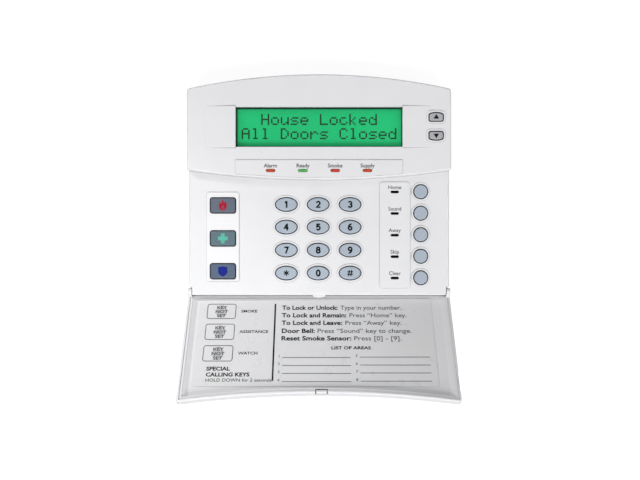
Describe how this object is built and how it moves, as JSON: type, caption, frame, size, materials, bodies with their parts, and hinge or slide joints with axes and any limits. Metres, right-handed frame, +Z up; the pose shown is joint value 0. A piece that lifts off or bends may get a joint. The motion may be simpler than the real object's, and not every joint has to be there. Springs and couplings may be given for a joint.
{
  "type": "alarm keypad panel",
  "caption": "Wall-mounted alarm keypad with a curved hood, a backlit character display, oval number keys, emergency and function keys, and a fold-down door with an instruction card.",
  "frame": {"origin": "on the wall surface, behind the middle of the case", "axes": "+X to the right seen from the front, +Y into the wall, +Z up; the front faces -Y"},
  "size_m": [0.1624, 0.0638, 0.1956],
  "materials": {
    "case_plastic": "fine satin texture",
    "plate_plastic": "satin",
    "window_clear": "clear and polished",
    "display_green": "smooth, lit from behind",
    "backlight": "lit diffuser",
    "frame_metal": "stamped, dark",
    "board": "varnished",
    "pin_metal": "tinned",
    "screw_steel": "zinc plated",
    "contact_carbon": "printed carbon",
    "emitter": "smooth",
    "mat_rubber": "matte silicone",
    "key_rubber": "satin silicone",
    "scroll_rubber": "satin silicone",
    "key_fire_rubber": "satin silicone",
    "key_medical_rubber": "satin silicone",
    "key_guard_rubber": "satin silicone",
    "light_orange": "tinted lens",
    "light_green": "tinted lens",
    "light_red": "tinted lens",
    "light_dark": "dark tinted lens",
    "chip_black": "moulded",
    "capacitor_metal": "drawn can",
    "small_parts": "fired",
    "terminal_plastic": "moulded",
    "card": "printed label"
  },
  "bodies": {
    "housing": {"back_plate": "plate_plastic", "board_screws": "screw_steel", "capacitors": "capacitor_metal", "chip_legs": "pin_metal", "controller_chip": "chip_black", "display_backlight": "backlight", "display_board": "board", "display_frame": "frame_metal", "display_glass": "display_green", "display_pins": "pin_metal", "display_window": "window_clear", "front_cover": "case_plastic", "function_lights": "light_dark", "key_contacts": "contact_carbon", "keypad_mat": "mat_rubber", "light_emitters": "emitter", "main_board": "board", "regulator": "chip_black", "scroll_mat": "mat_rubber", "small_parts": "small_parts", "sounder": "chip_black", "status_light_1": "light_orange", "status_light_2": "light_green", "status_light_3": "light_red", "status_light_4": "light_orange", "terminal_block": "terminal_plastic", "terminal_screws": "screw_steel"},
    "door_body": {"door": "case_plastic", "instruction_card": "card"},
    "key_1_body": {"key_1": "key_rubber"},
    "key_2_body": {"key_2": "key_rubber"},
    "key_3_body": {"key_3": "key_rubber"},
    "key_4_body": {"key_4": "key_rubber"},
    "key_5_body": {"key_5": "key_rubber"},
    "key_6_body": {"key_6": "key_rubber"},
    "key_7_body": {"key_7": "key_rubber"},
    "key_8_body": {"key_8": "key_rubber"},
    "key_9_body": {"key_9": "key_rubber"},
    "key_star_body": {"key_star": "key_rubber"},
    "key_0_body": {"key_0": "key_rubber"},
    "key_hash_body": {"key_hash": "key_rubber"},
    "key_stay_body": {"key_stay": "key_rubber"},
    "key_chime_body": {"key_chime": "key_rubber"},
    "key_exit_body": {"key_exit": "key_rubber"},
    "key_bypass_body": {"key_bypass": "key_rubber"},
    "key_cancel_body": {"key_cancel": "key_rubber"},
    "key_fire_body": {"key_fire": "key_fire_rubber"},
    "key_medical_body": {"key_medical": "key_medical_rubber"},
    "key_guard_body": {"key_guard": "key_guard_rubber"},
    "key_up_body": {"key_up": "scroll_rubber"},
    "key_down_body": {"key_down": "scroll_rubber"}
  },
  "joints": [
    {"name": "door_hinge", "type": "hinge", "parent": "housing", "child": "door_body", "pos_m": [0, -0.019, -0.066], "axis": [-1, 0, 0], "range_deg": [0, 141]},
    {"name": "key_1_press", "type": "slide", "parent": "housing", "child": "key_1_body", "axis": [0, 1, 0], "range_m": [0, 0.0012], "stiffness_N_per_m": 300},
    {"name": "key_2_press", "type": "slide", "parent": "housing", "child": "key_2_body", "axis": [0, 1, 0], "range_m": [0, 0.0012], "stiffness_N_per_m": 300},
    {"name": "key_3_press", "type": "slide", "parent": "housing", "child": "key_3_body", "axis": [0, 1, 0], "range_m": [0, 0.0012], "stiffness_N_per_m": 300},
    {"name": "key_4_press", "type": "slide", "parent": "housing", "child": "key_4_body", "axis": [0, 1, 0], "range_m": [0, 0.0012], "stiffness_N_per_m": 300},
    {"name": "key_5_press", "type": "slide", "parent": "housing", "child": "key_5_body", "axis": [0, 1, 0], "range_m": [0, 0.0012], "stiffness_N_per_m": 300},
    {"name": "key_6_press", "type": "slide", "parent": "housing", "child": "key_6_body", "axis": [0, 1, 0], "range_m": [0, 0.0012], "stiffness_N_per_m": 300},
    {"name": "key_7_press", "type": "slide", "parent": "housing", "child": "key_7_body", "axis": [0, 1, 0], "range_m": [0, 0.0012], "stiffness_N_per_m": 300},
    {"name": "key_8_press", "type": "slide", "parent": "housing", "child": "key_8_body", "axis": [0, 1, 0], "range_m": [0, 0.0012], "stiffness_N_per_m": 300},
    {"name": "key_9_press", "type": "slide", "parent": "housing", "child": "key_9_body", "axis": [0, 1, 0], "range_m": [0, 0.0012], "stiffness_N_per_m": 300},
    {"name": "key_star_press", "type": "slide", "parent": "housing", "child": "key_star_body", "axis": [0, 1, 0], "range_m": [0, 0.0012], "stiffness_N_per_m": 300},
    {"name": "key_0_press", "type": "slide", "parent": "housing", "child": "key_0_body", "axis": [0, 1, 0], "range_m": [0, 0.0012], "stiffness_N_per_m": 300},
    {"name": "key_hash_press", "type": "slide", "parent": "housing", "child": "key_hash_body", "axis": [0, 1, 0], "range_m": [0, 0.0012], "stiffness_N_per_m": 300},
    {"name": "key_stay_press", "type": "slide", "parent": "housing", "child": "key_stay_body", "axis": [0, 1, 0], "range_m": [0, 0.0012], "stiffness_N_per_m": 300},
    {"name": "key_chime_press", "type": "slide", "parent": "housing", "child": "key_chime_body", "axis": [0, 1, 0], "range_m": [0, 0.0012], "stiffness_N_per_m": 300},
    {"name": "key_exit_press", "type": "slide", "parent": "housing", "child": "key_exit_body", "axis": [0, 1, 0], "range_m": [0, 0.0012], "stiffness_N_per_m": 300},
    {"name": "key_bypass_press", "type": "slide", "parent": "housing", "child": "key_bypass_body", "axis": [0, 1, 0], "range_m": [0, 0.0012], "stiffness_N_per_m": 300},
    {"name": "key_cancel_press", "type": "slide", "parent": "housing", "child": "key_cancel_body", "axis": [0, 1, 0], "range_m": [0, 0.0012], "stiffness_N_per_m": 300},
    {"name": "key_fire_press", "type": "slide", "parent": "housing", "child": "key_fire_body", "axis": [0, 1, 0], "range_m": [0, 0.0012], "stiffness_N_per_m": 300},
    {"name": "key_medical_press", "type": "slide", "parent": "housing", "child": "key_medical_body", "axis": [0, 1, 0], "range_m": [0, 0.0012], "stiffness_N_per_m": 300},
    {"name": "key_guard_press", "type": "slide", "parent": "housing", "child": "key_guard_body", "axis": [0, 1, 0], "range_m": [0, 0.0012], "stiffness_N_per_m": 300},
    {"name": "key_up_press", "type": "slide", "parent": "housing", "child": "key_up_body", "axis": [0, 1, 0], "range_m": [0, 0.0012], "stiffness_N_per_m": 300},
    {"name": "key_down_press", "type": "slide", "parent": "housing", "child": "key_down_body", "axis": [0, 1, 0], "range_m": [0, 0.0012], "stiffness_N_per_m": 300}
  ]
}
